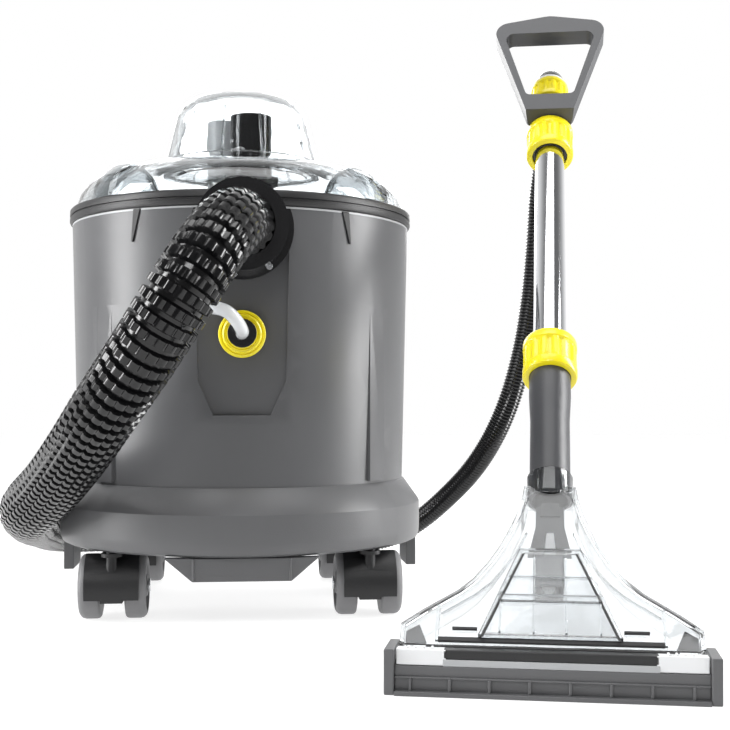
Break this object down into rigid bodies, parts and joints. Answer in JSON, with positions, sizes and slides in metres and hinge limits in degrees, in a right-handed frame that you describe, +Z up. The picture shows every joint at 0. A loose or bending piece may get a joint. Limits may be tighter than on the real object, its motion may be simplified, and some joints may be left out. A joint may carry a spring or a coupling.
{
  "type": "carpet cleaner machine",
  "caption": "Round canister spray-extraction carpet cleaner on swivel casters, with a clear lid, a ribbed suction hose and a separate floor wand with a clear wide nozzle.",
  "frame": {"origin": "on the floor under the canister's vertical axis", "axes": "+Z up along the canister's axis, -Y towards the front with the hose socket, +X to the canister's left hand side as it faces forward, where the wand stands"},
  "size_m": [0.7062, 1.0213, 0.6725],
  "materials": {
    "grey_body": "fine-grained satin",
    "grey_base": "fine-grained satin",
    "grey_light": "satin",
    "grey_dark": "satin",
    "black_plastic": "smooth",
    "black_rubber": "soft satin",
    "hose_black": "ribbed gloss",
    "yellow": "satin",
    "clear": "clear moulded plastic",
    "clear_tube": "milky clear",
    "white": "satin",
    "chrome": "polished",
    "steel": "turned",
    "wheel_grey": "smooth tread",
    "aluminium": "cast"
  },
  "bodies": {
    "canister": {"base_chassis": "grey_base", "skirt_feet": "grey_base", "tank_body": "grey_body", "recovery_tank": "grey_light", "rim_seal": "black_rubber", "hose_port_collar": "black_plastic", "port_screws": "steel", "coupling_body": "black_plastic", "standpipe": "black_plastic", "motor_housing": "grey_dark", "pump_body": "grey_dark", "control_panel": "grey_dark", "cable_gland": "black_rubber", "exhaust_grille": "grey_dark", "machine_hose": "hose_black", "hose_reducer": "black_rubber", "wand_hose": "hose_black", "spray_tube": "clear_tube"},
    "lid": {"lid_shell": "clear", "turret_dome": "clear", "float_cage": "white", "seal_cup": "black_rubber"},
    "float": {"float": "white"},
    "impeller": {"impeller": "aluminium"},
    "coupling_ring": {"coupling_ring": "yellow"},
    "suction_switch": {"suction_switch": "black_plastic"},
    "spray_switch": {"spray_switch": "black_plastic"},
    "wand": {"chrome_tube": "chrome", "neck_tube": "grey_dark", "hose_cuff": "black_plastic", "nozzle_cover": "clear", "jet_cover": "clear", "inner_tunnel": "grey_light", "spray_jet": "white", "mouth_bar": "grey_base", "seal_strip": "black_rubber", "end_cap_left": "grey_base", "end_cap_right": "grey_base"},
    "lower_nut": {"lower_nut": "yellow"},
    "hose_nut": {"hose_nut": "yellow"},
    "grip": {"grip_handle": "grey_dark"},
    "upper_nut": {"upper_nut": "yellow"},
    "slide_lock_left": {"slide_lock_left": "white"},
    "slide_lock_right": {"slide_lock_right": "white"},
    "caster_front_left": {"caster_hood_front_left": "black_plastic", "caster_axle_front_left": "steel"},
    "caster_wheel_front_left_left": {"caster_wheel_front_left_left": "wheel_grey"},
    "caster_wheel_front_left_right": {"caster_wheel_front_left_right": "wheel_grey"},
    "caster_front_right": {"caster_hood_front_right": "black_plastic", "caster_axle_front_right": "steel"},
    "caster_wheel_front_right_left": {"caster_wheel_front_right_left": "wheel_grey"},
    "caster_wheel_front_right_right": {"caster_wheel_front_right_right": "wheel_grey"},
    "caster_rear_left": {"caster_hood_rear_left": "black_plastic", "caster_axle_rear_left": "steel"},
    "caster_wheel_rear_left_left": {"caster_wheel_rear_left_left": "wheel_grey"},
    "caster_wheel_rear_left_right": {"caster_wheel_rear_left_right": "wheel_grey"},
    "caster_rear_right": {"caster_hood_rear_right": "black_plastic", "caster_axle_rear_right": "steel"},
    "caster_wheel_rear_right_left": {"caster_wheel_rear_right_left": "wheel_grey"},
    "caster_wheel_rear_right_right": {"caster_wheel_rear_right_right": "wheel_grey"}
  },
  "joints": [
    {"name": "lid_lift", "type": "slide", "parent": "canister", "child": "lid", "axis": [0, 0, 1], "range_m": [0, 0.2]},
    {"name": "float_rise", "type": "slide", "parent": "lid", "child": "float", "axis": [0, 0, 1], "range_m": [0, 0.05]},
    {"name": "impeller_spin", "type": "hinge", "parent": "canister", "child": "impeller", "pos_m": [0, 0, 0.16], "axis": [0, 0, 1], "continuous": true},
    {"name": "coupling_release", "type": "slide", "parent": "canister", "child": "coupling_ring", "axis": [0, -1, 0], "range_m": [0, 0.003], "stiffness_N_per_m": 800},
    {"name": "suction_switch_rock", "type": "hinge", "parent": "canister", "child": "suction_switch", "pos_m": [0.008, 0.18925, 0.255], "axis": [1, 0, 0], "range_deg": [0, 12]},
    {"name": "spray_switch_rock", "type": "hinge", "parent": "canister", "child": "spray_switch", "pos_m": [0.044, 0.18925, 0.255], "axis": [1, 0, 0], "range_deg": [0, 12]},
    {"name": "caster_front_left_swivel", "type": "hinge", "parent": "canister", "child": "caster_front_left", "pos_m": [-0.13, -0.13, 0.07], "axis": [0, 0, 1], "continuous": true},
    {"name": "caster_wheel_front_left_left_roll", "type": "hinge", "parent": "caster_front_left", "child": "caster_wheel_front_left_left", "pos_m": [-0.153, -0.102, 0.033], "axis": [1, 0, 0], "continuous": true},
    {"name": "caster_wheel_front_left_right_roll", "type": "hinge", "parent": "caster_front_left", "child": "caster_wheel_front_left_right", "pos_m": [-0.107, -0.102, 0.033], "axis": [1, 0, 0], "continuous": true},
    {"name": "caster_front_right_swivel", "type": "hinge", "parent": "canister", "child": "caster_front_right", "pos_m": [0.13, -0.13, 0.07], "axis": [0, 0, 1], "continuous": true},
    {"name": "caster_wheel_front_right_left_roll", "type": "hinge", "parent": "caster_front_right", "child": "caster_wheel_front_right_left", "pos_m": [0.107, -0.102, 0.033], "axis": [1, 0, 0], "continuous": true},
    {"name": "caster_wheel_front_right_right_roll", "type": "hinge", "parent": "caster_front_right", "child": "caster_wheel_front_right_right", "pos_m": [0.153, -0.102, 0.033], "axis": [1, 0, 0], "continuous": true},
    {"name": "caster_rear_left_swivel", "type": "hinge", "parent": "canister", "child": "caster_rear_left", "pos_m": [-0.13, 0.13, 0.07], "axis": [0, 0, 1], "continuous": true},
    {"name": "caster_wheel_rear_left_left_roll", "type": "hinge", "parent": "caster_rear_left", "child": "caster_wheel_rear_left_left", "pos_m": [-0.153, 0.158, 0.033], "axis": [1, 0, 0], "continuous": true},
    {"name": "caster_wheel_rear_left_right_roll", "type": "hinge", "parent": "caster_rear_left", "child": "caster_wheel_rear_left_right", "pos_m": [-0.107, 0.158, 0.033], "axis": [1, 0, 0], "continuous": true},
    {"name": "caster_rear_right_swivel", "type": "hinge", "parent": "canister", "child": "caster_rear_right", "pos_m": [0.13, 0.13, 0.07], "axis": [0, 0, 1], "continuous": true},
    {"name": "caster_wheel_rear_right_left_roll", "type": "hinge", "parent": "caster_rear_right", "child": "caster_wheel_rear_right_left", "pos_m": [0.107, 0.158, 0.033], "axis": [1, 0, 0], "continuous": true},
    {"name": "caster_wheel_rear_right_right_roll", "type": "hinge", "parent": "caster_rear_right", "child": "caster_wheel_rear_right_right", "pos_m": [0.153, 0.158, 0.033], "axis": [1, 0, 0], "continuous": true},
    {"name": "wand_stroke", "type": "slide", "parent": "canister", "child": "wand", "axis": [0.2419, 0.9703, 0], "range_m": [-0.1, 0.1], "deforming": ["wand_hose"]},
    {"name": "grip_height", "type": "slide", "parent": "wand", "child": "grip", "axis": [-0.1587, -0.6366, -0.7547], "range_m": [0, 0.06]},
    {"name": "upper_nut_turn", "type": "hinge", "parent": "grip", "child": "upper_nut", "pos_m": [0.34627, -0.01465, 0.51094], "axis": [0.1587, 0.6366, 0.7547], "continuous": true},
    {"name": "lower_nut_turn", "type": "hinge", "parent": "wand", "child": "lower_nut", "pos_m": [0.29342, -0.22662, 0.25962], "axis": [0.1587, 0.6366, 0.7547], "continuous": true},
    {"name": "hose_nut_turn", "type": "hinge", "parent": "wand", "child": "hose_nut", "pos_m": [0.36024, 0.04137, 0.57735], "axis": [0.1587, 0.6366, 0.7547], "continuous": true},
    {"name": "slide_lock_left_slide", "type": "slide", "parent": "wand", "child": "slide_lock_left", "axis": [0.9703, -0.2419, 0], "range_m": [0, 0.005]},
    {"name": "slide_lock_right_slide", "type": "slide", "parent": "wand", "child": "slide_lock_right", "axis": [-0.9703, 0.2419, 0], "range_m": [0, 0.005]}
  ]
}
